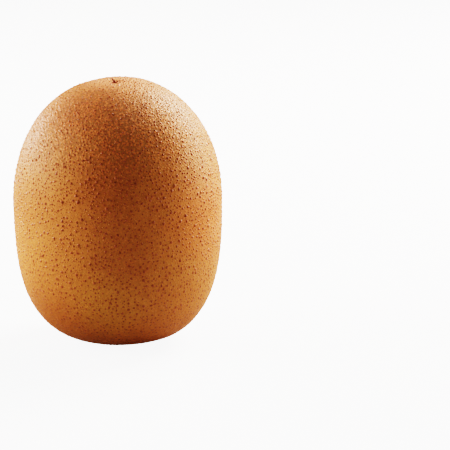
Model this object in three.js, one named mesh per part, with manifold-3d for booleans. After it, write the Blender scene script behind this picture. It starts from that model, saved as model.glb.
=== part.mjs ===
// A whole golden kiwi fruit that stands on its stem end.
// Millimetres, +Z up, with the origin at the middle of the spot that it rests on.
//
// The fruit grew as one piece, so it is one solid: a barrel-shaped body whose skin carries raised lenticels.
// The dried styles of the flower stand in a dimple on the crown, and the woody stem scar is in a hollow below.

import * as THREE from 'three';
import { ConvexHull } from 'three/addons/math/ConvexHull.js';
import { mergeVertices } from 'three/addons/utils/BufferGeometryUtils.js';
import Module from 'manifold-3d';

const wasm = await Module();
wasm.setup();

// ---- Driving dimensions ----

const HEIGHT = 69; // from the resting spot to the crown
const WIDTH = 54; // across X at the girth
const DEPTH = 51.5; // across Y at the girth, because the fruit is slightly flattened
const GIRTH_HEIGHT = 36.7; // level of the widest ring
const CROWN_SQUARENESS = 2.16; // superellipse exponent above the girth; 2 is an ellipse
const BASE_SQUARENESS = 2.92; // and below it, where the fruit is blunter
const REST_RADIUS = 7.5; // of the flat spot that the fruit stands on

// Broad unevenness of growth: where a swell is centred, how far it reaches, and how far it lifts the skin.
const SWELLS = [
  { name: 'left girth', at: [-27, -4, 38], reach: 8, rise: 0.25 },
  { name: 'right heel', at: [15, -3, 2], reach: 7, rise: 0.3 },
  { name: 'left crown', at: [-5, 0, 69], reach: 6, rise: -0.3 },
  { name: 'right crown', at: [7, 2, 68], reach: 8, rise: 0.15 },
  { name: 'back', at: [5, 25, 42], reach: 13, rise: 0.35 },
  { name: 'back shoulder', at: [-12, 18, 56], reach: 10, rise: -0.3 },
];

const STYLES_AT = [-0.6, -3.2];
const DIMPLE_REACH = 1.6;
const DIMPLE_DEPTH = 0.35;
const STYLE_COUNT = 7;
const STYLE_LENGTH = [0.9, 1.4]; // shortest and longest, above the skin
const STYLE_RADIUS = [0.14, 0.28]; // at the broken tip and at the foot
const STYLE_SPLAY = [30, 68]; // degrees from upright

const LENTICEL_COUNT = 600;
const LENTICEL_RADIUS = [0.4, 0.7];
const LENTICEL_RISE = 0.25;
const LENTICEL_SIDES = 5;
const LENTICEL_GAP = 1.3; // least distance of two middles, in sums of their radii
const LENTICEL_FREE_HEIGHT = 1.5; // they keep this far above the surface the fruit stands on

const STEM_HOLLOW_RADIUS = 4.2; // mouth of the hollow in the resting spot
const STEM_HOLLOW_DEPTH = 1.5;
const STEM_SCAR_RADIUS = 2.1; // woody button left by the stalk
const STEM_SCAR_HEIGHT = 0.7; // from the floor of the hollow
const STEM_PIT_RADIUS = 0.8; // where the core of the stalk broke off
const STEM_PIT_DEPTH = 0.45;

const PLAIN_POINTS = 1300; // corners spread over the skin between the lenticels
const PLAIN_GAP = 1.8; // their least distance from a lenticel's middle, in its radii
const SHORTEST_EDGE = 0.6; // their least distance from the rings round the dimple and the flat spot
const DIMPLE_RINGS = [[0.5, 7], [1, 9]]; // radius in reaches of the dimple, and corners
const REST_SIDES = 40; // corners round the flat spot
const ROOT_DEPTH = 0.6; // how far styles and scar are sunk in the body
const SEED = 41;

// ---- Shape of the skin ----

const HALF_WIDTH = WIDTH / 2;
const FLATTENING = DEPTH / WIDTH;
const ABOVE_GIRTH = HEIGHT - GIRTH_HEIGHT;
// The lower superellipse reaches a little below the floor, so that its cut there has REST_RADIUS.
const REST_SHARE = (REST_RADIUS / HALF_WIDTH) ** BASE_SQUARENESS;
const BELOW_GIRTH = GIRTH_HEIGHT / (1 - REST_SHARE) ** (1 / BASE_SQUARENESS);
const UP = new THREE.Vector3(0, 0, 1);

const stylesDirection = new THREE.Vector3(STYLES_AT[0], STYLES_AT[1], ABOVE_GIRTH).normalize();
const dimple = { name: 'dimple', at: [...STYLES_AT, HEIGHT], reach: DIMPLE_REACH, rise: -DIMPLE_DEPTH };

/** The point of the skin in a direction from the middle of the girth, raised by as much as stated. */
function skinPoint(direction, rise = 0) {
  const height = direction.z > 0 ? ABOVE_GIRTH : BELOW_GIRTH;
  const squareness = direction.z > 0 ? CROWN_SQUARENESS : BASE_SQUARENESS;
  const across = Math.hypot(direction.x, direction.y / FLATTENING) / HALF_WIDTH;
  const up = Math.abs(direction.z) / height;
  const distance = (across ** squareness + up ** squareness) ** (-1 / squareness);
  const point = direction.clone().multiplyScalar(distance);
  point.z += GIRTH_HEIGHT;
  return point.addScaledVector(direction, swellAt(point) + rise);
}

/** How far the swells and the dimple lift the skin at a point. */
function swellAt(point) {
  let lift = 0;
  for (const { at, reach, rise } of [...SWELLS, dimple]) {
    const away = point.distanceTo(new THREE.Vector3(...at)) / reach;
    lift += rise * Math.exp(-away * away);
  }
  return lift;
}

// ---- Helpers ----

/** A seeded random number generator (mulberry32), from 0 to 1. */
function randomFrom(seed) {
  let state = seed;
  return () => {
    state = (state + 0x6d2b79f5) | 0;
    let t = Math.imul(state ^ (state >>> 15), 1 | state);
    t = (t + Math.imul(t ^ (t >>> 7), 61 | t)) ^ t;
    return ((t ^ (t >>> 14)) >>> 0) / 4294967296;
  };
}

const pick = ([low, high], share) => low + (high - low) * share;

/** Directions spread evenly over the ball by the golden angle. */
function spreadDirections(count) {
  const goldenAngle = Math.PI * (3 - Math.sqrt(5));
  return Array.from({ length: count }, (_, i) => {
    const z = 1 - (2 * i + 1) / count;
    const across = Math.sqrt(1 - z * z);
    return new THREE.Vector3(across * Math.cos(i * goldenAngle), across * Math.sin(i * goldenAngle), z);
  });
}

/** Directions of a ring on the skin, of a radius in millimetres, round a middle direction. */
function ringDirections(middle, radius, count, firstTurn = 0) {
  const tilt = radius / skinPoint(middle).sub(new THREE.Vector3(0, 0, GIRTH_HEIGHT)).length();
  const side = new THREE.Vector3(1, 0, 0).cross(middle);
  if (side.lengthSq() < 0.1) side.copy(UP).cross(middle);
  const rim = middle.clone().applyAxisAngle(side.normalize(), tilt);
  const step = (2 * Math.PI) / count;
  return Array.from({ length: count }, (_, i) => rim.clone().applyAxisAngle(middle, firstTurn + i * step));
}

/** A closed three.js geometry as a manifold-3d solid. */
function solidOf(geometry) {
  const bare = geometry.clone();
  bare.deleteAttribute('normal');
  bare.deleteAttribute('uv');
  const merged = mergeVertices(bare);
  const vertProperties = new Float32Array(merged.attributes.position.array);
  const triVerts = new Uint32Array(merged.index.array);
  return new wasm.Manifold(new wasm.Mesh({ numProp: 3, vertProperties, triVerts }));
}

/** A manifold-3d solid as a three.js geometry. */
function geometryOf(solid) {
  const { vertProperties, triVerts } = solid.getMesh();
  const geometry = new THREE.BufferGeometry();
  geometry.setAttribute('position', new THREE.BufferAttribute(vertProperties, 3));
  geometry.setIndex(new THREE.BufferAttribute(triVerts, 1));
  geometry.computeVertexNormals();
  return geometry;
}

/** A shape turned about the Z axis from [radius, height] corners that start and end on the axis. */
function turned(corners, sides) {
  const profile = corners.map(([radius, height]) => new THREE.Vector2(radius, height));
  return new THREE.LatheGeometry(profile, sides).rotateX(Math.PI / 2);
}

// ---- Parts of the fruit ----

/** The lenticels: the middle direction and the radius of each, spread over the skin and then shaken. */
function lenticels(random) {
  const shake = 1.6 / Math.sqrt(LENTICEL_COUNT);
  const stylesPoint = skinPoint(stylesDirection);
  const dots = [];
  for (const middle of spreadDirections(LENTICEL_COUNT)) {
    middle.x += shake * (random() - 0.5);
    middle.y += shake * (random() - 0.5);
    middle.z += shake * (random() - 0.5);
    middle.normalize();
    const radius = pick(LENTICEL_RADIUS, random());
    const point = skinPoint(middle);
    const clearOfRest = point.z > LENTICEL_FREE_HEIGHT;
    const clearOfStyles = point.distanceTo(stylesPoint) > DIMPLE_REACH + 2 * radius;
    const clearOfOthers = dots.every((dot) => {
      return dot.point.distanceTo(point) > LENTICEL_GAP * (dot.radius + radius);
    });
    if (clearOfRest && clearOfStyles && clearOfOthers) dots.push({ middle, point, radius });
  }
  return dots;
}

/** Directions of the edge of the flat spot. */
function restEdge() {
  return Array.from({ length: REST_SIDES }, (_, i) => {
    const turn = (i / REST_SIDES) * 2 * Math.PI;
    const y = REST_RADIUS * Math.sin(turn) * FLATTENING;
    return new THREE.Vector3(REST_RADIUS * Math.cos(turn), y, -GIRTH_HEIGHT).normalize();
  });
}

/** The directions of the skin's other corners: between lenticels, in the dimple and round the flat spot. */
function plainDirections(dots) {
  const dimpleEdges = DIMPLE_RINGS.flatMap(([reaches, count]) => {
    return ringDirections(stylesDirection, reaches * DIMPLE_REACH, count);
  });
  const rings = [stylesDirection, ...dimpleEdges, ...restEdge()];
  const ringPoints = rings.map((direction) => skinPoint(direction));
  const between = spreadDirections(PLAIN_POINTS).filter((direction) => {
    const point = skinPoint(direction);
    const clearOfDots = dots.every((dot) => dot.point.distanceTo(point) > PLAIN_GAP * dot.radius);
    return clearOfDots && ringPoints.every((other) => other.distanceTo(point) > SHORTEST_EDGE);
  });
  return [...rings, ...between];
}

/** The body with its skin: corners in all directions, joined as the hull of the directions joins them. */
function body(random) {
  const cornerIn = new Map();
  const dots = lenticels(random);
  for (const { middle, radius } of dots) {
    cornerIn.set(middle, skinPoint(middle, LENTICEL_RISE));
    const rim = ringDirections(middle, radius, LENTICEL_SIDES, random() * Math.PI);
    for (const direction of rim) cornerIn.set(direction, skinPoint(direction));
  }
  for (const direction of plainDirections(dots)) cornerIn.set(direction, skinPoint(direction));

  const positions = [];
  for (const face of new ConvexHull().setFromPoints([...cornerIn.keys()]).faces) {
    for (let k = 0; k < 3; k += 1) positions.push(...cornerIn.get(face.getEdge(k).head().point).toArray());
  }
  const geometry = new THREE.BufferGeometry();
  geometry.setAttribute('position', new THREE.Float32BufferAttribute(positions, 3));
  return solidOf(geometry);
}

/** Everything below the floor, to be cut off the body. */
function belowFloor() {
  return solidOf(new THREE.BoxGeometry(WIDTH, WIDTH, WIDTH).translate(0, 0, -WIDTH / 2));
}

/** The rounded hollow round the stem scar, to be cut out of the base. */
function stemHollow() {
  const corners = [[0, -1], [STEM_HOLLOW_RADIUS, -1]];
  for (const degrees of [0, 22, 45, 68]) {
    const turn = THREE.MathUtils.degToRad(degrees);
    corners.push([STEM_HOLLOW_RADIUS * Math.cos(turn), STEM_HOLLOW_DEPTH * Math.sin(turn)]);
  }
  corners.push([0, STEM_HOLLOW_DEPTH]);
  return solidOf(turned(corners, 28));
}

/** The woody button in the hollow, with the pit of the broken stalk facing down. */
function stemScar() {
  const bottom = STEM_HOLLOW_DEPTH - STEM_SCAR_HEIGHT;
  const root = STEM_HOLLOW_DEPTH + ROOT_DEPTH;
  const corners = [
    [0, bottom + STEM_PIT_DEPTH],
    [STEM_PIT_RADIUS * 0.6, bottom + STEM_PIT_DEPTH],
    [STEM_PIT_RADIUS, bottom],
    [STEM_SCAR_RADIUS * 0.85, bottom],
    [STEM_SCAR_RADIUS, bottom + 0.25],
    [STEM_SCAR_RADIUS, root],
    [0, root],
  ];
  return solidOf(turned(corners, 20));
}

/** The dried styles, splayed out like a small star from the bottom of the dimple. */
function styles(random) {
  const foot = skinPoint(stylesDirection, -ROOT_DEPTH);
  return Array.from({ length: STYLE_COUNT }, (_, i) => {
    const turn = ((i + 0.5 * random()) / STYLE_COUNT) * 2 * Math.PI;
    const splay = THREE.MathUtils.degToRad(pick(STYLE_SPLAY, random()));
    const length = ROOT_DEPTH + pick(STYLE_LENGTH, random());
    const across = Math.sin(splay);
    const direction = new THREE.Vector3(across * Math.cos(turn), across * Math.sin(turn), Math.cos(splay));
    const stub = new THREE.CylinderGeometry(...STYLE_RADIUS, length, 5).translate(0, length / 2, 0);
    stub.applyQuaternion(new THREE.Quaternion().setFromUnitVectors(new THREE.Vector3(0, 1, 0), direction));
    return solidOf(stub.translate(foot.x, foot.y, foot.z));
  });
}

/** The whole fruit as one closed solid. */
function kiwiFruit() {
  const random = randomFrom(SEED);
  let fruit = body(random).subtract(belowFloor()).subtract(stemHollow()).add(stemScar());
  for (const style of styles(random)) fruit = fruit.add(style);
  const skin = new THREE.MeshStandardMaterial({ color: 0xb8782f, roughness: 0.5, metalness: 0 });
  const mesh = new THREE.Mesh(geometryOf(fruit), skin);
  mesh.name = 'kiwi_fruit';
  return mesh;
}

const kiwi = new THREE.Group();
kiwi.add(kiwiFruit());

export default kiwi;
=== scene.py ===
"""A whole golden kiwi fruit on a pale floor in soft studio light.

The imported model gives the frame. The pieces made here stand for its one node: the speckled skin
with its raised lenticels, pimples and fine hairs, the dried styles of the flower on the crown, and
the woody stem scar underneath.

Lengths are in millimetres unless a comment says otherwise, and meshes are made in metres. A
"direction" is a unit vector from the middle of the girth, and names one point of the skin.
"""

import math

import bpy
import numpy as np
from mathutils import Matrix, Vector, kdtree, noise
from mathutils.geometry import delaunay_2d_cdt


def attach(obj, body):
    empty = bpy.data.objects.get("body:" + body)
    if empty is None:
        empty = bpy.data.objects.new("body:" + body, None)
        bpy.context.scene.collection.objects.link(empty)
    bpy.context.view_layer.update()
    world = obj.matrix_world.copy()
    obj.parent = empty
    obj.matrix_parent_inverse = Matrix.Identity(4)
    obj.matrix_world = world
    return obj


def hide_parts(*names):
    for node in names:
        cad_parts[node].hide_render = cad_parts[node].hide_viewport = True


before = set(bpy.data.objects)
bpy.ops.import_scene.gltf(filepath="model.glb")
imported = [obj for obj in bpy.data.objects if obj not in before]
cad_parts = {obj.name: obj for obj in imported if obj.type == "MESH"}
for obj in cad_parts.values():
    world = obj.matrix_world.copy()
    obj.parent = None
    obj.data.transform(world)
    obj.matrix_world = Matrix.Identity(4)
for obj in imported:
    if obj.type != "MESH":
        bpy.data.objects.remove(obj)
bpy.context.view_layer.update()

MM = 0.001
rng = np.random.default_rng(20)

# ---- The fruit's dimensions in millimetres, as its solid has them ----

HEIGHT = 69.0
WIDTH = 54.0
DEPTH = 51.5
GIRTH_HEIGHT = 36.7
CROWN_SQUARENESS = 2.16
BASE_SQUARENESS = 2.92
REST_RADIUS = 7.5
STYLES_AT = (-0.6, -3.2)
DIMPLE_REACH = 1.6
DIMPLE_DEPTH = 0.35
STEM_HOLLOW_RADIUS = 4.2
STEM_HOLLOW_DEPTH = 1.5
STEM_HOLLOW_ROUNDING = 0.8
STEM_SCAR_RADIUS = 2.1
STEM_SCAR_HEIGHT = 0.7

# Broad unevenness of growth: where each swell is centred, how far it reaches, and how far it lifts
# the skin. The last one is the dimple under the styles.
SWELLS = [
    ((-27, -4, 38), 8, 0.25),
    ((15, -3, 2), 7, 0.3),
    ((-5, 0, 69), 6, -0.3),
    ((7, 2, 68), 8, 0.15),
    ((5, 25, 42), 13, 0.35),
    ((-12, 18, 56), 10, -0.3),
    ((*STYLES_AT, HEIGHT), DIMPLE_REACH, -DIMPLE_DEPTH),
]

HALF_WIDTH = WIDTH / 2
FLATTENING = DEPTH / WIDTH
ABOVE_GIRTH = HEIGHT - GIRTH_HEIGHT
REST_SHARE = (REST_RADIUS / HALF_WIDTH) ** BASE_SQUARENESS
BELOW_GIRTH = GIRTH_HEIGHT / (1 - REST_SHARE) ** (1 / BASE_SQUARENESS)
GIRTH_MIDDLE = np.array([0, 0, GIRTH_HEIGHT])
STEM_FACE = STEM_HOLLOW_DEPTH - STEM_SCAR_HEIGHT  # how high the scar's face is above the floor

# ---- Finer detail, in millimetres and degrees ----

# Small waves of the skin: how high each is, and how many there are in a millimetre.
BROAD_WAVE = (0.05, 0.22)
FINE_WAVE = (0.022, 0.9)
FINE_WAVE_SHIFT = (7, 3, 1)
WAVES_FROM = 3.0  # they fade out below this height

CROWN_HEIGHTS = (46, 60)  # where the grain starts to get finer, and where it is finest
BASE_HEIGHT = 16  # below this it gets a little finer too
FINER_CROWN = 0.3  # how much smaller dots are on the crown
FINER_BASE = 0.12  # and at the base
DOTS = 5900
DOT_RADIUS = (0.26, 0.46)
DOT_RADIUS_SKEW = 1.9  # above 1, small ones are more common
DOT_LEAST_SHARE = 0.9  # of the lower radius, which finer grain doesn't go below
DOT_SPACING = 0.26  # least distance between the rims of two
DOT_STEEPNESS = 0.9  # rise of a lenticel over its radius
DOT_RISE_SPREAD = (0.6, 1.2)
DOT_STRETCH = 0.28  # how far a lenticel is longer one way than round
DOT_RAGGEDNESS = 0.16  # how uneven its rim is
DOT_TRIES = 7  # random places looked at for each one wanted
DOT_CHANCE = 0.6  # that such a place is taken
DOT_CHANCE_ON_CROWN = 0.4  # more
DOT_CELL = 1.3  # side of the cells in which near lenticels are looked up
DOT_FREE_HEIGHT = 0.8  # they keep this far above the floor
DOT_STYLES_GAP = 1.2  # and this far from the styles

# Dots stand in loose groups of a small and a larger size.
GROUP_SIZE = 3.6
LARGE_GROUP_SIZE = 9.72
LARGE_GROUP_SHARE = 0.6
GROUP_CHANCE = 0.25  # how much more likely a place is in a group

# Dots are flatter low on the fruit and on its flanks.
RISE_AT_FLOOR = 0.25
RISE_GAIN_HEIGHT = 60
FLANK_AT = 20
FLANK_FLATTER = 0.35

# A lenticel's rings of corners: shares of the radius, corners, and shares of rise and colour.
DOT_RINGS = ((1.0, 6, 0.0, 0.0), (0.6, 5, 0.72, 0.75))
FLUSH_REACH = 1.5  # how far from lenticels the skin is still redder

PIMPLES = 16000
PIMPLE_RADIUS = (0.20, 0.31)
PIMPLE_SPACING = 0.05
PIMPLE_STEEPNESS = 0.95
PIMPLE_ROOT = 0.05  # how far a pimple is sunk in the skin
PIMPLE_SIDES = 5
RED_PIMPLES = 0.5  # the share of them that is the colour of lenticels
RED_LESS_ON_CROWN = 0.7
PIMPLE_TONE = 0.8  # how light the reddish ones are among lenticels
PIMPLE_FLUSH = 0.3

FILL_POINTS = 32000  # corners of the plain skin, before those near lenticels are left out
FILL_GAP = 0.18  # least distance of such a corner from a lenticel's rim
HOLLOW_RADIUS = 0.9  # of the innermost ring of corners in the stem hollow
HOLLOW_STEP = 0.3  # between its rings
HOLLOW_LEAST_SIDES = 16
PLAIN_TONE = 0.5

HAIR_COUNT = 9000
HAIR_LENGTH = (0.25, 0.6)
HAIR_RADIUS = 0.016
HAIR_SIDES = 3
HAIR_ROOT = 0.05  # how far a hair is sunk in the skin
HAIR_LEAN = (35, 70)  # degrees from upright
HAIR_STRAY = 1.1  # spread of the turn, in radians, round straight down
HAIR_BEND = 0.8  # how much the outer half is turned along the skin
HAIR_TAPER = 0.8  # radius at the bend over that at the foot
HAIR_FREE_HEIGHT = 1.0

STYLE_COUNT = 9
STYLE_SEED = 11
STYLE_LENGTH = (0.8, 1.5)
STYLE_RADIUS = (0.08, 0.17)  # at the broken tip and at the foot
STYLE_RINGS = 7
STYLE_SIDES = 7
STYLE_SPLAY = (15, 66)  # degrees from upright
STYLE_STRAY = 0.35  # how far one is turned from its even place, in places
STYLE_CURL = (-0.3, 0.35)  # sideways, over its length
STYLE_DROOP = (-0.25, 0.1)  # down or up, over its length
STYLE_TAPER = 0.7
STYLE_KNOB = 1.3  # widening below the broken tip
STYLE_WRINKLES = 0.28
STYLE_ROOT = 0.25  # how far a style is sunk in the skin
STYLES_ASIDE = 0.25  # from the dimple's middle

STEM_SIDES = 96
STEM_RINGS = 18
STEM_INNER_RADIUS = 0.12  # of the innermost ring
STEM_PIT_RADIUS = 0.8  # where the core of the stalk broke off
STEM_PIT_DEPTH = 0.45
STEM_BUNDLES = 11  # of broken fibres, in a ring round the pit
STEM_BUNDLE_RING = 1.25  # that ring's radius
STEM_BUNDLE_WIDTH = 0.18
STEM_BUNDLE_RISE = 0.09
STEM_RIDGE_RISE = 0.035
STEM_RIM_ROUNDING = 0.22  # how far the face falls back at its edge
STEM_GRAIN = (0.07, 2.6)  # how high its small bumps are, and how many there are in a millimetre

# Waves of the scar's edge and of its ridges: how many go round, how strong, and where they start.
STEM_EDGE_WAVES = ((3, 0.04, 1), (7, 0.03, 0), (12, 0.02, 2))
STEM_RIDGE_WAVES = ((29, 1.0, 0), (17, 0.6, 1.3))

# The scar's side, up into the fruit: how far each ring is above the one before, and how much wider.
STEM_WALL = ((0.12, 1.03), (0.35, 1.0), (0.35, 0.98), (0.3, 0.95))


# ---- Shape of the skin ----


def swell_at(points):
    """How far the swells and the dimple lift the skin at each point."""
    lift = np.zeros(len(points))
    for centre, reach, rise in SWELLS:
        away = np.linalg.norm(points - np.array(centre), axis=1) / reach
        lift += rise * np.exp(-away * away)
    return lift


def hollow_height(radius):
    """How high the skin is above the floor in the stem hollow, by the distance from the axis."""
    share = np.clip(radius / STEM_HOLLOW_RADIUS, 0, 1)
    return STEM_HOLLOW_DEPTH * (1 - share**2) ** STEM_HOLLOW_ROUNDING


def skin_points(directions, rise=0.0):
    """The skin's points in these directions, raised by as much as stated."""
    crown = directions[:, 2] > 0
    height = np.where(crown, ABOVE_GIRTH, BELOW_GIRTH)
    squareness = np.where(crown, CROWN_SQUARENESS, BASE_SQUARENESS)
    across = np.hypot(directions[:, 0], directions[:, 1] / FLATTENING) / HALF_WIDTH
    up = np.abs(directions[:, 2]) / height
    distance = (across**squareness + up**squareness) ** (-1 / squareness)
    points = directions * distance[:, None] + GIRTH_MIDDLE
    points += directions * (swell_at(points) + rise)[:, None]

    # What would be below the floor is cut flat there, and the stem hollow is pressed into it.
    low = points[:, 2] < 0
    points[low] = GIRTH_MIDDLE + directions[low] * (GIRTH_HEIGHT / -directions[low, 2])[:, None]
    points[low, 2] = hollow_height(np.hypot(points[low, 0], points[low, 1]))
    return points


def unit(vectors):
    """The vectors at a length of 1."""
    return vectors / np.linalg.norm(vectors, axis=-1, keepdims=True)


def side_directions(directions):
    """Two directions across each given one, at right angles to it and to each other."""
    aid = np.where(np.abs(directions[:, 2:]) < 0.9, [[0.0, 0, 1]], [[1.0, 0, 0]])
    first = unit(np.cross(aid, directions))
    return first, np.cross(directions, first)


def skin_normals(directions):
    """The skin's outward normals, from short steps along it."""
    step = 0.004
    first, second = side_directions(directions)
    here = skin_points(directions)
    along_first = skin_points(unit(directions + step * first)) - here
    along_second = skin_points(unit(directions + step * second)) - here
    return unit(np.cross(along_first, along_second))


def reach_of(directions):
    """How far the skin is from the middle of the girth."""
    return np.linalg.norm(skin_points(directions) - GIRTH_MIDDLE, axis=1)


def spread_directions(count):
    """Directions spread evenly over the ball by the golden angle."""
    index = np.arange(count)
    z = 1 - (2 * index + 1) / count
    across = np.sqrt(1 - z * z)
    turn = index * math.pi * (3 - math.sqrt(5))
    return np.stack([across * np.cos(turn), across * np.sin(turn), z], axis=1)


def random_directions(count):
    """Random directions, as many on each square millimetre of the skin."""
    directions = unit(rng.normal(size=(4 * count, 3)))
    facing = np.abs((skin_normals(directions) * directions).sum(axis=1))
    area = reach_of(directions) ** 2 / np.maximum(facing, 0.5)
    return directions[rng.random(len(area)) < area / area.max()][:count]


def angles(sides):
    """Equal turns of a full circle."""
    return np.arange(sides) * (2 * math.pi / sides)


def ring_directions(middles, radii, sides, turns):
    """Uneven rings of directions round the middles, whose radii are measured on the skin."""
    first, second = side_directions(middles)
    angle = turns[:, None] + angles(sides)

    # A second angle, made from the first, says which way each ring is longer and how much.
    lobe = 7 * turns[:, None]
    lobes = 1 + DOT_STRETCH * np.cos(2 * (angle - lobe)) * (lobe % 1)
    lobes += DOT_RAGGEDNESS * rng.uniform(-1, 1, size=angle.shape)
    tilt = (radii / reach_of(middles))[:, None] * lobes
    outward = np.cos(angle)[..., None] * first[:, None] + np.sin(angle)[..., None] * second[:, None]
    return unit(middles[:, None] + np.tan(tilt)[..., None] * outward)


def undulation(points):
    """The small waves of the skin, as heights."""
    broad, broad_pace = BROAD_WAVE
    fine, fine_pace = FINE_WAVE
    shift = Vector(FINE_WAVE_SHIFT)
    heights = [
        broad * noise.noise(Vector(point) * broad_pace)
        + fine * noise.noise(Vector(point) * fine_pace + shift)
        for point in points
    ]
    return np.array(heights)


# ---- Places of the lenticels and pimples ----


def crownward(heights):
    """0 from the girth down and 1 on the crown."""
    low, high = CROWN_HEIGHTS
    return np.clip((heights - low) / (high - low), 0, 1)


def dot_sizes(heights):
    """How large dots are: finer towards the crown, and a little finer at the base."""
    low_down = np.maximum(0, 1 - heights / BASE_HEIGHT)
    return 1 - FINER_CROWN * crownward(heights) - FINER_BASE * low_down


def on_open_skin(points, least_height):
    """Which points are above a height and not in the stem hollow."""
    beside_axis = np.hypot(points[:, 0], points[:, 1]) < STEM_HOLLOW_RADIUS
    in_hollow = beside_axis & (points[:, 2] < GIRTH_HEIGHT)
    return (points[:, 2] > least_height) & ~in_hollow


def grouping(point):
    """Above 0 where dots crowd together and below 0 where they are sparse."""
    small = noise.noise(Vector(point) / GROUP_SIZE)
    large = noise.noise(Vector(point) / LARGE_GROUP_SIZE)
    return small + LARGE_GROUP_SHARE * large


def has_room(dots, cell, point, radius, spacing):
    """Whether a new dot keeps the spacing from all that are near it."""
    return not any(
        math.dist(point, other) < radius + other_radius + spacing
        for i in (-1, 0, 1)
        for j in (-1, 0, 1)
        for k in (-1, 0, 1)
        for other, other_radius in dots.get((cell[0] + i, cell[1] + j, cell[2] + k), ())
    )


def place_dots(dots, count, radius_range, spacing):
    """Adds up to count dots in loose groups, and returns their directions and radii."""
    directions = random_directions(DOT_TRIES * count)
    points = skin_points(directions)
    styles_point = skin_points(unit(np.array([[*STYLES_AT, ABOVE_GIRTH]])))[0]
    clear = on_open_skin(points, DOT_FREE_HEIGHT)
    clear &= np.linalg.norm(points - styles_point, axis=1) > DOT_STYLES_GAP
    directions, points = directions[clear], points[clear]
    crown_chances = DOT_CHANCE_ON_CROWN * crownward(points[:, 2])
    sizes = dot_sizes(points[:, 2])

    low, high = radius_range
    added = []
    for direction, point, crown_chance, size in zip(directions, points, crown_chances, sizes):
        if rng.random() > DOT_CHANCE + GROUP_CHANCE * grouping(point) + crown_chance:
            continue
        radius = (low + (high - low) * rng.random() ** DOT_RADIUS_SKEW) * size
        radius = max(low * DOT_LEAST_SHARE, radius)
        if len(added) == count:
            break
        cell = tuple((point // DOT_CELL).astype(int))
        if has_room(dots, cell, point, radius, spacing):
            dots.setdefault(cell, []).append((point, radius))
            added.append((direction, radius))
    return np.array([dot[0] for dot in added]), np.array([dot[1] for dot in added])


def dot_rises(middles, radii, steepness):
    """How high the dots stand, flatter towards the base and on the flanks."""
    points = skin_points(middles)
    by_height = np.clip(RISE_AT_FLOOR + points[:, 2] / RISE_GAIN_HEIGHT, 0, 1)
    by_side = 1 - FLANK_FLATTER * np.clip(np.abs(points[:, 0]) / FLANK_AT, 0, 1)
    spread = rng.uniform(*DOT_RISE_SPREAD, len(radii))
    return steepness * radii * (by_height * by_side) * spread


# ---- Meshes ----


def mesh_object(name, points, faces, material, smooth=True):
    """An object with a mesh whose points are given in millimetres."""
    mesh = bpy.data.meshes.new(name)
    mesh.from_pydata((np.asarray(points) * MM).tolist(), [], [list(face) for face in faces])
    mesh.polygons.foreach_set("use_smooth", np.full(len(mesh.polygons), smooth))
    mesh.materials.append(material)
    mesh.update()
    piece = bpy.data.objects.new(name, mesh)
    bpy.context.scene.collection.objects.link(piece)
    return piece


def point_attribute(piece, name, values):
    """Keeps a value for each corner of the mesh, which its material reads."""
    attribute = piece.data.attributes.new(name, "FLOAT", "POINT")
    attribute.data.foreach_set("value", np.asarray(values, np.float32))


def fill_directions(tree, radii):
    """Even directions for the plain skin's corners, clear of the lenticels and the stem hollow."""
    fill = spread_directions(FILL_POINTS)
    clear = np.ones(len(fill), bool)
    hollow_reach = STEM_HOLLOW_RADIUS + HOLLOW_STEP
    for i, point in enumerate(skin_points(fill)):
        if math.hypot(point[0], point[1]) < hollow_reach and point[2] < GIRTH_HEIGHT:
            clear[i] = False
        elif any(away < radii[k] + FILL_GAP for _, k, away in tree.find_n(point, 3)):
            clear[i] = False
    return fill[clear]


def hollow_directions():
    """Rings of directions to the stem hollow, as far as its edge."""
    rings = []
    for radius in np.arange(HOLLOW_RADIUS, STEM_HOLLOW_RADIUS + HOLLOW_STEP, HOLLOW_STEP):
        sides = max(HOLLOW_LEAST_SIDES, round(2 * math.pi * radius / HOLLOW_STEP))
        angle = np.arange(0, 2 * math.pi, 2 * math.pi / sides)
        down = np.full(len(angle), -GIRTH_HEIGHT)
        rings.append(unit(np.stack([radius * np.cos(angle), radius * np.sin(angle), down], axis=1)))
    return np.concatenate(rings)


def flush_at(points, tree, radii):
    """How closely lenticels crowd round each point."""
    flush = []
    for point in points:
        near = tree.find_range(point, FLUSH_REACH)
        flush.append(sum(radii[i] ** 2 * (1 - (away / FLUSH_REACH) ** 2) for _, i, away in near))
    return np.array(flush)


def skin_corners(middles, radii):
    """The skin's corners: their directions, rises, lenticel shares, tones and flushes."""
    tones = rng.random(len(middles))
    rise = dot_rises(middles, radii, DOT_STEEPNESS)
    turns = rng.uniform(0, 2 * math.pi, len(radii))

    parts = [(middles, rise, np.ones(len(middles)), tones)]
    for share, sides, rise_share, lenticel in DOT_RINGS:
        ring = ring_directions(middles, share * radii, sides, turns * share).reshape(-1, 3)
        ring_rise = np.repeat(rise_share * rise, sides)
        parts.append((ring, ring_rise, np.full(len(ring), lenticel), np.repeat(tones, sides)))

    tree = kdtree.KDTree(len(middles))
    for i, point in enumerate(skin_points(middles)):
        tree.insert(point, i)
    tree.balance()
    for plain in (fill_directions(tree, radii), hollow_directions()):
        flat = np.zeros(len(plain))
        parts.append((plain, flat, flat, flat + PLAIN_TONE))
    columns = [np.concatenate(column) for column in zip(*parts)]
    return columns + [flush_at(skin_points(columns[0]), tree, radii)]


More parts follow.
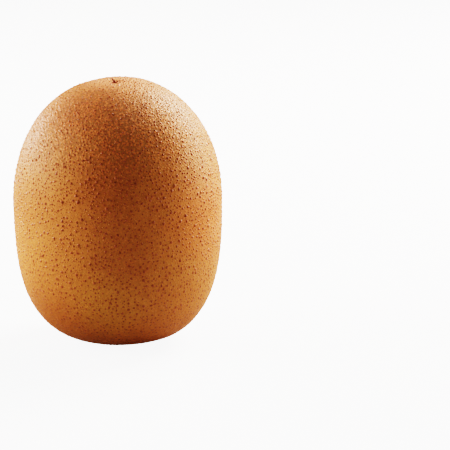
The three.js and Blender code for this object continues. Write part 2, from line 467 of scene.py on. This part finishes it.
def make_skin(middles, radii, material):
    """The whole skin as one closed mesh, with its lenticels."""
    directions, rise, lenticel, tone, flush = skin_corners(middles, radii)
    points = skin_points(directions)
    fade = np.clip(points[:, 2] / WAVES_FROM, 0, 1)
    points = skin_points(directions, rise + undulation(points) * fade)

    # Seen from the pole under the fruit, the ball of directions is a plane, in which Delaunay's
    # rule still holds.
    plane = directions[:, :2] / (1 + directions[:, 2:])
    flat = delaunay_2d_cdt([Vector(p) for p in plane.tolist()], [], [], 0, 1e-9, True)
    faces = [list(face) for face in flat[2]]
    order = [origins[0] for origins in flat[3]]
    points, lenticel, tone, flush = points[order], lenticel[order], tone[order], flush[order]

    # The plane's rim is the innermost ring of the stem hollow, which a fan of faces closes.
    edges = {edge: True for face in faces for edge in zip(face, face[1:] + face[:1])}
    faces += [[b, a, len(points)] for a, b in edges if (b, a) not in edges]
    points = np.vstack([points, [0, 0, STEM_HOLLOW_DEPTH]])
    lenticel = np.append(lenticel, 0)
    skin = mesh_object("skin", points, faces, material)
    point_attribute(skin, "lenticel", lenticel)
    point_attribute(skin, "tone", np.append(tone, PLAIN_TONE))
    point_attribute(skin, "flush", np.append(flush, 0))
    sharpen_rims(skin.data, lenticel)
    return skin


def sharpen_rims(mesh, lenticel):
    """Makes the edges sharp at which a lenticel meets the plain skin."""
    corners = np.zeros(len(mesh.loops), int)
    edges = np.zeros(len(mesh.loops), int)
    mesh.loops.foreach_get("vertex_index", corners)
    mesh.loops.foreach_get("edge_index", edges)
    raised = lenticel[corners].reshape(-1, 3).max(axis=1) > 0
    beside_raised = np.bincount(edges, np.repeat(raised, 3))
    rim = mesh.attributes.new("sharp_edge", "BOOLEAN", "EDGE")
    rim.data.foreach_set("value", beside_raised == 1)


def copies(pattern, count, corners):
    """The faces of count small solids, which have so many corners each and the same pattern."""
    return [[corners * i + v for v in face] for i in range(count) for face in pattern]


def make_pimples(middles, radii, material):
    """Small low domes between the lenticels, each sunk a little in the skin."""
    sides = PIMPLE_SIDES
    count = len(middles)
    rise = dot_rises(middles, radii, PIMPLE_STEEPNESS)
    lift = undulation(skin_points(middles))
    turns = rng.uniform(0, 2 * math.pi, count)
    rings = ring_directions(middles, radii, sides, turns).reshape(-1, 3)
    feet = skin_points(rings, np.repeat(lift, sides) - PIMPLE_ROOT).reshape(count, sides, 3)
    tops = skin_points(middles, lift + rise)
    points = np.concatenate([feet, tops[:, None]], axis=1).reshape(-1, 3)
    underside = list(range(sides))[::-1]
    pattern = [underside] + [[k, (k + 1) % sides, sides] for k in range(sides)]
    pimples = mesh_object("pimples", points, copies(pattern, count, sides + 1), material)
    smooth = np.tile([False] + [True] * sides, count)
    pimples.data.polygons.foreach_set("use_smooth", smooth)

    # Some are the colour of lenticels, and the others are pale at the top, a painted highlight.
    heights = skin_points(middles)[:, 2:]
    red_share = RED_PIMPLES * (1 - RED_LESS_ON_CROWN * crownward(heights))
    reddish = rng.random((count, 1)) < red_share
    pale = rng.uniform(0.0, 1.0, (count, 1)) * ~reddish
    top = np.array([0.0] * sides + [1.0])
    point_attribute(pimples, "pale", (pale * top).ravel())
    point_attribute(pimples, "lenticel", np.where(reddish, 0.4 + 0.6 * top, 0.1 * top).ravel())
    point_attribute(pimples, "tone", np.full(len(points), PIMPLE_TONE))
    point_attribute(pimples, "flush", np.full(len(points), PIMPLE_FLUSH))
    return pimples


def make_hairs(material):
    """Short fine hairs that lean along the skin, each a bent three-sided needle."""
    directions = random_directions(HAIR_COUNT)
    feet = skin_points(directions)
    clear = on_open_skin(feet, HAIR_FREE_HEIGHT)
    directions, feet = directions[clear], feet[clear]
    count = len(feet)
    normals = skin_normals(directions)
    first, second = side_directions(normals)
    turn = rng.normal(-math.pi / 2, HAIR_STRAY, count)[:, None]
    along = np.cos(turn) * first + np.sin(turn) * second
    lean = np.radians(rng.uniform(*HAIR_LEAN, count))[:, None]
    low = unit(normals * np.cos(lean) + along * np.sin(lean))
    high = unit(low + HAIR_BEND * along)
    length = rng.uniform(*HAIR_LENGTH, count)[:, None]

    knee = feet + low * length * 0.5
    tip = knee + high * length * 0.5
    foot = feet - normals * HAIR_ROOT
    sides = HAIR_SIDES
    offsets = [HAIR_RADIUS * (math.cos(a) * first + math.sin(a) * second) for a in angles(sides)]
    low_ring = [foot + offset for offset in offsets]
    high_ring = [knee + HAIR_TAPER * offset for offset in offsets]
    points = np.stack(low_ring + high_ring + [tip], axis=1).reshape(-1, 3)
    pattern = [list(range(sides))[::-1]]
    for k in range(sides):
        n = (k + 1) % sides
        pattern += [[k, n, sides + n, sides + k], [sides + k, sides + n, 2 * sides]]
    return mesh_object("hairs", points, copies(pattern, count, 2 * sides + 1), material)


def tube(path, radii, sides, uneven):
    """Corners and faces of a closed tube along a path, wider or narrower by the uneven shares."""
    along = unit(np.gradient(path, axis=0))
    first, second = side_directions(along)
    angle = angles(sides)[None, :, None]
    reach = (radii[:, None] * (1 + uneven))[..., None]
    outward = np.cos(angle) * first[:, None] + np.sin(angle) * second[:, None]
    rings = path[:, None] + reach * outward
    last = (len(path) - 1) * sides
    faces = [list(range(sides))[::-1], [last + k for k in range(sides)]]
    for start in range(0, last, sides):
        for k in range(sides):
            n = (k + 1) % sides
            faces.append([start + k, start + n, start + sides + n, start + sides + k])
    return rings.reshape(-1, 3), faces


def joined(solids):
    """Several solids' corners and faces as one list of each."""
    points, faces, start = [], [], 0
    for corners, sides in solids:
        points.append(corners)
        faces += [[start + v for v in face] for face in sides]
        start += len(corners)
    return np.concatenate(points), faces


def make_styles(material):
    """The dried styles, splayed and curled like a small broken star in the dimple."""
    draws = np.random.default_rng(STYLE_SEED)
    toward = unit(np.array([[STYLES_AT[0] + STYLES_ASIDE, STYLES_AT[1], ABOVE_GIRTH]]))
    foot = skin_points(toward, -STYLE_ROOT)[0]
    tip_radius, foot_radius = STYLE_RADIUS
    step = np.linspace(0, 1, STYLE_RINGS)
    radii = foot_radius + (tip_radius - foot_radius) * step**STYLE_TAPER
    radii[-2] *= STYLE_KNOB
    step = step[:, None]
    strands = []
    for i in range(STYLE_COUNT):
        turn = (i + draws.uniform(-STYLE_STRAY, STYLE_STRAY)) * 2 * math.pi / STYLE_COUNT
        splay = math.radians(draws.uniform(*STYLE_SPLAY))
        outward = np.array([math.cos(turn), math.sin(turn), 0])
        aside = np.array([-math.sin(turn), math.cos(turn), 0])
        length = STYLE_ROOT + draws.uniform(*STYLE_LENGTH)
        curl = draws.uniform(*STYLE_CURL)
        path = foot + length * step * (math.sin(splay) * outward + [0, 0, math.cos(splay)])
        path += length * step**2 * (curl * aside + [0, 0, draws.uniform(*STYLE_DROOP)])
        uneven = STYLE_WRINKLES * draws.uniform(-1, 1, (STYLE_RINGS, STYLE_SIDES))
        strands.append(tube(path, radii, STYLE_SIDES, uneven))
    return mesh_object("styles", *joined(strands), material)


def scar_ring(radius, edge, ridges, angle):
    """One ring of the scar's face, with its share of the pit, the bundles and the ridges."""
    share = radius / STEM_SCAR_RADIUS
    pit = STEM_PIT_DEPTH / (1 + (radius / STEM_PIT_RADIUS) ** 8)
    on_ring = math.exp(-(((radius - STEM_BUNDLE_RING) / STEM_BUNDLE_WIDTH) ** 2))
    bundle = on_ring * np.maximum(0, np.cos(STEM_BUNDLES * angle)) ** 3
    height = STEM_FACE + pit - STEM_BUNDLE_RISE * bundle
    height = height + STEM_RIDGE_RISE * ridges * share + STEM_RIM_ROUNDING * share**10
    ring = np.stack([radius * edge * np.cos(angle), radius * edge * np.sin(angle), height], axis=1)
    grain, pace = STEM_GRAIN
    ring[:, 2] += [grain * noise.noise(Vector(p) * pace) for p in ring]
    return ring


def waves_round(start, waves, angle):
    """A sum of waves round a circle."""
    total = np.full(len(angle), float(start))
    for count, strength, shift in waves:
        total += strength * np.sin(count * angle + shift)
    return total


def make_stem_scar(material):
    """The woody button where the stalk broke off, with a pit, ridges and a ring of fibres."""
    sides = STEM_SIDES
    angle = angles(sides)
    edge = waves_round(1, STEM_EDGE_WAVES, angle)
    ridges = waves_round(0, STEM_RIDGE_WAVES, angle)
    radii = np.linspace(STEM_INNER_RADIUS, STEM_SCAR_RADIUS, STEM_RINGS)
    rings = [scar_ring(radius, edge, ridges, angle) for radius in radii]
    wall = rings[-1]
    for lift, widen in STEM_WALL:
        wall = wall * [widen, widen, 1] + [0, 0, lift]
        rings.append(wall)
    ends = [[[0, 0, STEM_FACE + STEM_PIT_DEPTH]], [[0, 0, wall[:, 2].mean()]]]
    points = np.concatenate(rings + ends)
    low, high = len(points) - 2, len(points) - 1
    last = (len(rings) - 1) * sides
    faces = []
    for k in range(sides):
        n = (k + 1) % sides
        faces += [[k, n, low], [last + n, last + k, high]]
        for start in range(0, last, sides):
            faces.append([start + n, start + k, start + sides + k, start + sides + n])
    return mesh_object("stem_scar", points, faces, material)


# ---- Materials ----


class Shader:
    """A material's node tree, with a short way to add nodes and join them."""

    def __init__(self, name):
        self.material = bpy.data.materials.new(name)
        self.material.use_nodes = True
        self.tree = self.material.node_tree
        self.surface = self.tree.nodes["Principled BSDF"]

    def add(self, kind, settings=(), **inputs):
        """A new node with its settings, and with its inputs set or joined."""
        node = self.tree.nodes.new("ShaderNode" + kind)
        for key, value in dict(settings).items():
            setattr(node, key, value)
        for key, value in inputs.items():
            self.put(node, key.replace("_", " "), value)
        return node

    def put(self, node, key, value):
        """Sets an input, given by its name or number, or joins another node's output to it."""
        socket = node.inputs[key]
        if isinstance(value, bpy.types.NodeSocket):
            self.tree.links.new(value, socket)
        else:
            socket.default_value = value

    def math(self, operation, *values):
        """The result of a sum on values or other nodes' outputs."""
        node = self.add("Math", {"operation": operation})
        for index, value in enumerate(values):
            self.put(node, index, value)
        return node.outputs[0]

    def times(self, a, b):
        """One value times another."""
        return self.math("MULTIPLY", a, b)

    def between(self, value, low, high, smooth=True):
        """0 below low and 1 above high, or the other way round where low is above high."""
        kind = "SMOOTHSTEP" if smooth else "LINEAR"
        falling = low > high
        node = self.add("MapRange", {"interpolation_type": kind, "clamp": True}, Value=value)
        self.put(node, "From Min", min(low, high))
        self.put(node, "From Max", max(low, high))
        self.put(node, "To Min", 1.0 if falling else 0.0)
        self.put(node, "To Max", 0.0 if falling else 1.0)
        return node.outputs[0]

    def mix(self, share, a, b):
        """Colour a with a share of colour b in it."""
        node = self.add("Mix", {"data_type": "RGBA", "clamp_factor": True})
        self.put(node, 0, share)
        for index, colour in ((6, a), (7, b)):
            plain = not isinstance(colour, bpy.types.NodeSocket)
            self.put(node, index, (*colour, 1.0) if plain else colour)
        return node.outputs[2]

    def noise(self, place, scale, detail=2.0, roughness=0.5, distortion=0.0):
        """Cloudy noise, mostly from 0.3 to 0.7, with a scale in waves to the millimetre."""
        node = self.add("TexNoise", Vector=place, Scale=scale, Detail=detail, Roughness=roughness)
        self.put(node, "Distortion", distortion)
        return node.outputs[0]

    def cells(self, place, scale):
        """How far each place is from the middle of its cell, in cells."""
        return self.add("TexVoronoi", Vector=place, Scale=scale).outputs["Distance"]

    def place_in_mm(self):
        """Where a point of the surface is, in the part's own axes."""
        scaled = self.add("VectorMath", {"operation": "SCALE"})
        self.put(scaled, 0, self.add("TexCoord").outputs["Object"])
        self.put(scaled, "Scale", 1 / MM)
        return scaled.outputs[0]

    def distance_to(self, place, point):
        """How far each place is from one point."""
        node = self.add("VectorMath", {"operation": "DISTANCE"})
        self.put(node, 0, place)
        self.put(node, 1, point)
        return node.outputs["Value"]

    def attribute(self, name):
        """The values that the mesh keeps under this name."""
        return self.add("Attribute", {"attribute_name": name}).outputs["Fac"]

    def finish(self, colour, roughness, specular, relief=None, strength=0.6, depth=0.1):
        """Joins colour, roughness and relief, whose depth is in millimetres, to the surface."""
        self.put(self.surface, "Base Color", colour)
        self.put(self.surface, "Roughness", roughness)
        self.put(self.surface, "Specular IOR Level", specular)
        if relief is not None:
            bump = self.add("Bump", Strength=strength, Distance=depth * MM, Height=relief)
            self.put(self.surface, "Normal", bump.outputs[0])
        return self.material


# The plain skin, and what its patches turn it to, some of them painted light or painted shade.
GOLD = (0.62, 0.228, 0.061)
AMBER = (0.72, 0.225, 0.050)
# Painted light, low on the front:
PAINTED_LIGHT_HONEY = (0.68, 0.280, 0.070)
# Painted light, on the crown and in one patch:
PAINTED_LIGHT_TAN = (0.88, 0.328, 0.158)
BROWN = (0.53, 0.169, 0.048)
# Painted shade, down the front and low on the left:
PAINTED_SHADE_UMBER = (0.40, 0.120, 0.032)
RUST = (0.50, 0.133, 0.041)
ROSE = (0.50, 0.133, 0.066)
COPPER = (0.68, 0.176, 0.040)
# Painted shade for the upper back of the fruit.
PAINTED_SHADE_BARK = (0.32, 0.080, 0.025)

# The grain of the skin between and on its finest bumps: painted shade in the valleys and a painted
# highlight on the bumps.
VALLEY_PAINTED_SHADE = (0.38, 0.150, 0.052)
HILL_PAINTED_HIGHLIGHT = (0.95, 0.290, 0.092)

# Lenticels: the darkest, the lightest and those on the far side, darker there as painted shade.
# Then the pale tops of pimples, which are a painted highlight.
DOT = (0.28, 0.071, 0.033)
DOT_LIGHT = (0.42, 0.117, 0.052)
DOT_PAINTED_SHADE = (0.12, 0.031, 0.013)
PIMPLE_PAINTED_HIGHLIGHT = (0.80, 0.345, 0.135)

HAIR_TONES = ((0.72, 0.46, 0.2), (0.45, 0.24, 0.09))
STYLE_TONES = ((0.12, 0.027, 0.012), (0.25, 0.065, 0.028))
STYLE_TIP = (0.34, 0.13, 0.055)
WOOD_TONES = ((0.13, 0.055, 0.025), (0.36, 0.2, 0.1))
WOOD_PIT = (0.06, 0.024, 0.012)

# Broad patches of another tone: where each is centred, how far it reaches, its colour and its
# greatest share. Some are painted light or painted shade, as marked.
PATCHES = [
    # Painted shade down the middle of the front.
    ((-2.7, -24.0, 49.0), 16.0, PAINTED_SHADE_UMBER, 0.8),
    ((1.0, -26.0, 32.0), 17.0, PAINTED_SHADE_UMBER, 0.4),
    # Painted light low on the front, standing in for light thrown up from the floor.
    ((-2.0, -23.5, 15.0), 15.0, PAINTED_LIGHT_HONEY, 0.8),
    ((-25.0, -8.0, 24.0), 22.0, AMBER, 0.5),
    # A redder right flank, partly painted shade.
    ((23.0, -12.0, 36.0), 18.0, COPPER, 0.9),
    ((-17.0, -3.0, 61.5), 13.0, COPPER, 0.8),
    # Painted shade low on the left, near the floor.
    ((-18.0, -12.0, 5.0), 22.0, PAINTED_SHADE_UMBER, 1.0),
    # Painted light on the crown's front, filling the shade between the lamps.
    ((3.0, -14.0, 63.0), 11.0, PAINTED_LIGHT_TAN, 0.5),
    ((-10.0, -12.0, 62.0), 14.0, ROSE, 0.85),
]

# Noises on the skin: waves in a millimetre, detail and roughness.
BROAD_NOISE = (0.07, 3.0, 0.5)
PATCH_EDGE_NOISE = (0.25, 3.0, 0.6)
BLOTCH_NOISE = (0.35, 4.0, 0.6)
MOTTLE_NOISE = (1.1, 3.0, 0.6)
RELIEF_NOISE = (3.2, 3.0, 0.55)

# How much of each tone is mixed in where it is strongest, painted light and painted shade among
# them.
BROAD_SHARE = 0.7
BLOTCH_SHARE = 0.35
FLUSH_SHARE = 0.65
CROWN_LIGHT_SHARE = 0.95
BASE_SHADE_SHARE = 0.75
BACK_SHADE_SHARE = 0.85
MOTTLE_SHARE = 0.3
VALLEY_SHADE_SHARE = 0.7
HILL_HIGHLIGHT_SHARE = 0.45
DOT_SHARE = 0.85
DOT_BACK_SHADE_SHARE = 0.8
PIMPLE_HIGHLIGHT_SHARE = 0.8

# Where tones and the grain come in: from the first value, where they are absent, to the second.
CROWN_MIDDLE = (1.0, -1.5, 69.0)
CROWN_BAND = (13.0, 4.0)  # distances from that
BASE_SHADE_BAND = (14.0, 0.0)  # heights
# Where the painted shade of the upper back comes in:
BACK_SHADE_BAND = (-3.0, 11.0)  # towards the back
BACK_SHADE_HEIGHTS = (68.0, 52.0)
GRAIN_HEIGHTS = (44.0, 58.0)
GRAIN_BELOW = 0.2  # the grain that is left below them
GRAIN_OFF_CROWN = 0.6  # the share of it that the crown lacks
GRAIN_CELLS = 1.55  # of the pebbly skin, in each millimetre

PLAIN_ROUGHNESS = 0.58
WAXY_ROUGHNESS = 0.38  # on lenticels and on the grain's bumps
NOISE_RELIEF = 0.3  # beside the grain's
SKIN_SPECULAR = 0.2


def mottled_skin(s, place, height, crown, painted_back_shade):
    """The colour of the skin without its grain and its lenticels, with painted light and painted
    shade in it.
    """
    broad = s.between(s.noise(place, *BROAD_NOISE), 0.35, 0.75)
    colour = s.mix(s.times(broad, BROAD_SHARE), GOLD, BROWN)
    blotches = s.between(s.noise(place, *BLOTCH_NOISE), 0.45, 0.75)
    colour = s.mix(s.times(blotches, BLOTCH_SHARE), colour, RUST)
    flush = s.between(s.attribute("flush"), 0.15, 0.6)
    colour = s.mix(s.times(flush, FLUSH_SHARE), colour, RUST)
    # Painted light: the crown is paler where light falls on it from above.
    colour = s.mix(s.times(crown, CROWN_LIGHT_SHARE), colour, PAINTED_LIGHT_TAN)
    # Painted shade: darker and redder towards the floor.
    colour = s.mix(s.times(s.between(height, *BASE_SHADE_BAND), BASE_SHADE_SHARE), colour, RUST)
    # Painted shade: the upper back is darkened.
    colour = s.mix(s.times(painted_back_shade, BACK_SHADE_SHARE), colour, PAINTED_SHADE_BARK)
    for centre, reach, tone, share in PATCHES:
        stray = s.noise(place, *PATCH_EDGE_NOISE)
        away = s.math("MULTIPLY_ADD", stray, 0.5 * reach, s.distance_to(place, centre))
        patch = s.between(away, 1.25 * reach, 0.4 * reach)
        colour = s.mix(s.times(patch, share), colour, tone)
    mottle = s.between(s.noise(place, *MOTTLE_NOISE), 0.35, 0.62)
    return s.mix(s.times(mottle, MOTTLE_SHARE), colour, BROWN)


def grain(s, place, height, crown):
    """The bumps and the valleys of the pebbly grain, clearest round the shoulder of the fruit. The
    skin is painted lighter on the bumps as highlight and darker in the valleys as shade.
    """
    above = s.between(height, *GRAIN_HEIGHTS)
    pebbly = s.math("MULTIPLY_ADD", above, 1 - GRAIN_BELOW, GRAIN_BELOW)
    pebbly = s.times(pebbly, s.math("MULTIPLY_ADD", crown, -GRAIN_OFF_CROWN, 1.0))
    valley = s.between(s.cells(place, GRAIN_CELLS), 0.25, 0.62)
    return s.times(s.math("SUBTRACT", 1.0, valley), pebbly), s.times(valley, pebbly)


def skin_material():
    """Mottled gold and brown, with a pebbly grain towards the crown and red-brown lenticels, and
    light and shade partly painted in.
    """
    s = Shader("speckled_skin")
    place = s.place_in_mm()
    axes = s.add("SeparateXYZ", Vector=place)
    height = axes.outputs["Z"]
    crown = s.between(s.distance_to(place, CROWN_MIDDLE), *CROWN_BAND)
    behind = s.between(axes.outputs["Y"], *BACK_SHADE_BAND)
    painted_back_shade = s.times(behind, s.between(height, *BACK_SHADE_HEIGHTS))

    colour = mottled_skin(s, place, height, crown, painted_back_shade)
    bumps, valley_shade = grain(s, place, height, crown)
    # Painted shade in the grain's valleys and painted highlight on its bumps.
    colour = s.mix(s.times(valley_shade, VALLEY_SHADE_SHARE), colour, VALLEY_PAINTED_SHADE)
    colour = s.mix(s.times(bumps, HILL_HIGHLIGHT_SHARE), colour, HILL_PAINTED_HIGHLIGHT)
    dot_colour = s.mix(s.attribute("tone"), DOT, DOT_LIGHT)
    # Painted shade: lenticels on the upper back are darker too.
    dot_colour = s.mix(s.times(painted_back_shade, DOT_BACK_SHADE_SHARE), dot_colour, DOT_PAINTED_SHADE)
    dots = s.between(s.attribute("lenticel"), 0.05, 0.5)
    colour = s.mix(s.times(dots, DOT_SHARE), colour, dot_colour)
    # Painted highlight on the tops of pale pimples.
    colour = s.mix(s.times(s.attribute("pale"), PIMPLE_HIGHLIGHT_SHARE), colour, PIMPLE_PAINTED_HIGHLIGHT)

    waxy = s.math("MAXIMUM", s.between(s.attribute("lenticel"), 0.0, 0.1), bumps)
    roughness = s.add("MapRange", Value=waxy)
    s.put(roughness, "To Min", PLAIN_ROUGHNESS)
    s.put(roughness, "To Max", WAXY_ROUGHNESS)
    relief = s.math("MULTIPLY_ADD", s.noise(place, *RELIEF_NOISE), NOISE_RELIEF, bumps)
    return s.finish(colour, roughness.outputs[0], SKIN_SPECULAR, relief)


def hair_material():
    """Fine dry down, from straw to brown."""
    s = Shader("kiwi_hair")
    colour = s.mix(s.noise(s.place_in_mm(), 2.0), *HAIR_TONES)
    return s.finish(colour, 0.6, 0.1)


def style_material():
    """Dried brown flower stuff, paler towards the broken tips."""
    s = Shader("dried_style")
    place = s.place_in_mm()
    mottle = s.noise(place, 3.5, 3.0, 0.6)
    colour = s.mix(s.between(mottle, 0.35, 0.7), *STYLE_TONES)
    tip = s.between(s.distance_to(place, (*STYLES_AT, HEIGHT - 0.6)), 0.8, 1.5)
    colour = s.mix(s.times(tip, 0.6), colour, STYLE_TIP)
    roughness = s.between(mottle, 1.4, -0.3, smooth=False)
    relief = s.noise(place, 7.0, 3.0, 0.6)
    return s.finish(colour, roughness, 0.12, relief, depth=0.05)


def scar_material():
    """Rough dry wood, darker in the pit."""
    s = Shader("woody_scar")
    place = s.place_in_mm()
    fibres = s.noise(place, 2.4, 5.0, 0.65, 0.6)
    colour = s.mix(s.between(fibres, 0.35, 0.68), *WOOD_TONES)
    pit = s.between(s.distance_to(place, (0.0, 0.0, STEM_HOLLOW_DEPTH)), 1.1, 0.4)
    colour = s.mix(s.times(pit, 0.75), colour, WOOD_PIT)
    roughness = s.between(fibres, 1.6, -0.2, smooth=False)
    relief = s.noise(place, 6.0, 4.0, 0.65)
    return s.finish(colour, roughness, 0.2, relief, strength=0.7, depth=0.08)


def floor_material(name, pale, glow=0.0):
    """A dull plain surface that may glow by itself."""
    s = Shader(name)
    s.put(s.surface, "Base Color", (pale, pale, pale, 1.0))
    s.put(s.surface, "Roughness", 0.9)
    s.put(s.surface, "Emission Color", (1.0, 1.0, 1.0, 1.0))
    s.put(s.surface, "Emission Strength", glow)
    return s.material


# ---- Stage ----

PHOTO_SIZE = 450
SENSOR = 36.0
ELEVATION = math.radians(14)
CAMERA_DISTANCE = 600.0
GIRTH_AT = (118.27, 200.68)  # where the middle of the girth is in the frame, in pixels
MM_PER_PIXEL = 0.26034  # at that middle
NEAR_CLIP = 0.01  # metres

FLOOR_PALENESS = 0.8
FLOOR_GLOW = 2.5
CARD_PALENESS = 0.3
CARD_HEIGHT = -0.02
PLANE_REACH = 1500.0

# Each light: where it stands and its two sides, in metres, and its power in watts.
LIGHTS = {
    "light_left": ((-0.582, 0.0, 0.185), (0.3, 0.16), 4.4),
    "light_left_back": ((-0.449, 0.377, 0.16), (0.3, 0.16), 3.5),
    "light_right": ((0.558, 0.203, 0.119), (0.3, 0.16), 3.1),
    "light_right_back": ((0.335, 0.359, 0.379), (0.36, 0.36), 9.9),
}
LIGHTS_AIM = (0, 0, 0.035)  # metres
LAMP_COLOUR = (1.0, 0.965, 0.89)
WORLD_STRENGTH = 0.25


def make_camera():
    """A camera with a long lens at the photograph's angle and with its framing."""
    forward = Vector((0, math.cos(ELEVATION), -math.sin(ELEVATION)))
    up = Vector((0, math.sin(ELEVATION), math.cos(ELEVATION)))
    right = Vector((1, 0, 0))
    aside = (PHOTO_SIZE / 2 - GIRTH_AT[0]) * MM_PER_PIXEL
    below = (PHOTO_SIZE / 2 - GIRTH_AT[1]) * MM_PER_PIXEL
    target = Vector(GIRTH_MIDDLE) + right * aside - up * below
    camera = bpy.data.objects.new("camera", bpy.data.cameras.new("camera"))
    camera.data.sensor_width = SENSOR
    camera.data.lens = CAMERA_DISTANCE / MM_PER_PIXEL * SENSOR / PHOTO_SIZE
    camera.data.clip_start = NEAR_CLIP
    camera.location = (target - forward * CAMERA_DISTANCE) * MM
    camera.rotation_euler = forward.to_track_quat("-Z", "Y").to_euler()
    bpy.context.scene.collection.objects.link(camera)
    bpy.context.scene.camera = camera


def set_view():
    """The photograph's contrast."""
    view = bpy.context.scene.view_settings
    view.view_transform = "Filmic"
    view.look = "Very High Contrast"


def make_lights():
    """Soft warm lights on both sides and behind, and a weak white one from all round."""
    for name, (at, sides, power) in LIGHTS.items():
        data = bpy.data.lights.new(name, "AREA")
        data.shape = "RECTANGLE"
        data.size, data.size_y = sides
        data.energy = power
        data.color = LAMP_COLOUR
        lamp = bpy.data.objects.new(name, data)
        lamp.location = at
        lamp.rotation_euler = (Vector(LIGHTS_AIM) - Vector(at)).to_track_quat("-Z", "Y").to_euler()
        bpy.context.scene.collection.objects.link(lamp)
    world = bpy.data.worlds.new("studio")
    world.use_nodes = True
    sky = world.node_tree.nodes["Background"]
    sky.inputs["Color"].default_value = (1, 1, 1, 1)
    sky.inputs["Strength"].default_value = WORLD_STRENGTH
    bpy.context.scene.world = world


def make_plane(name, height, material):
    """A level square of the stage."""
    r = PLANE_REACH
    corners = [(-r, -r, height), (r, -r, height), (r, r, height), (-r, r, height)]
    plane = mesh_object(name, corners, [[0, 1, 2, 3]], material, smooth=False)
    return plane


def make_floor():
    """A white floor for the camera, over a duller card that lights the fruit from below."""
    floor = make_plane("floor", 0.0, floor_material("pale_floor", FLOOR_PALENESS, FLOOR_GLOW))
    floor.visible_diffuse = False
    floor.visible_glossy = False
    floor.visible_shadow = False
    card = make_plane("bounce_card", CARD_HEIGHT, floor_material("dull_card", CARD_PALENESS))
    card.visible_camera = False


# ---- The whole ----

make_camera()
set_view()
make_lights()
make_floor()
placed = {}
dot_middles, dot_radii = place_dots(placed, DOTS, DOT_RADIUS, DOT_SPACING)
pimple_middles, pimple_radii = place_dots(placed, PIMPLES, PIMPLE_RADIUS, PIMPLE_SPACING)
speckled_skin = skin_material()
skin = make_skin(dot_middles, dot_radii, speckled_skin)
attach(skin, "root")
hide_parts("kiwi_fruit")
pimples = make_pimples(pimple_middles, pimple_radii, speckled_skin)
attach(pimples, "root")
hairs = make_hairs(hair_material())
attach(hairs, "root")
styles = make_styles(style_material())
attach(styles, "root")
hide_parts("kiwi_fruit")
scar = make_stem_scar(scar_material())
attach(scar, "root")
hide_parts("kiwi_fruit")
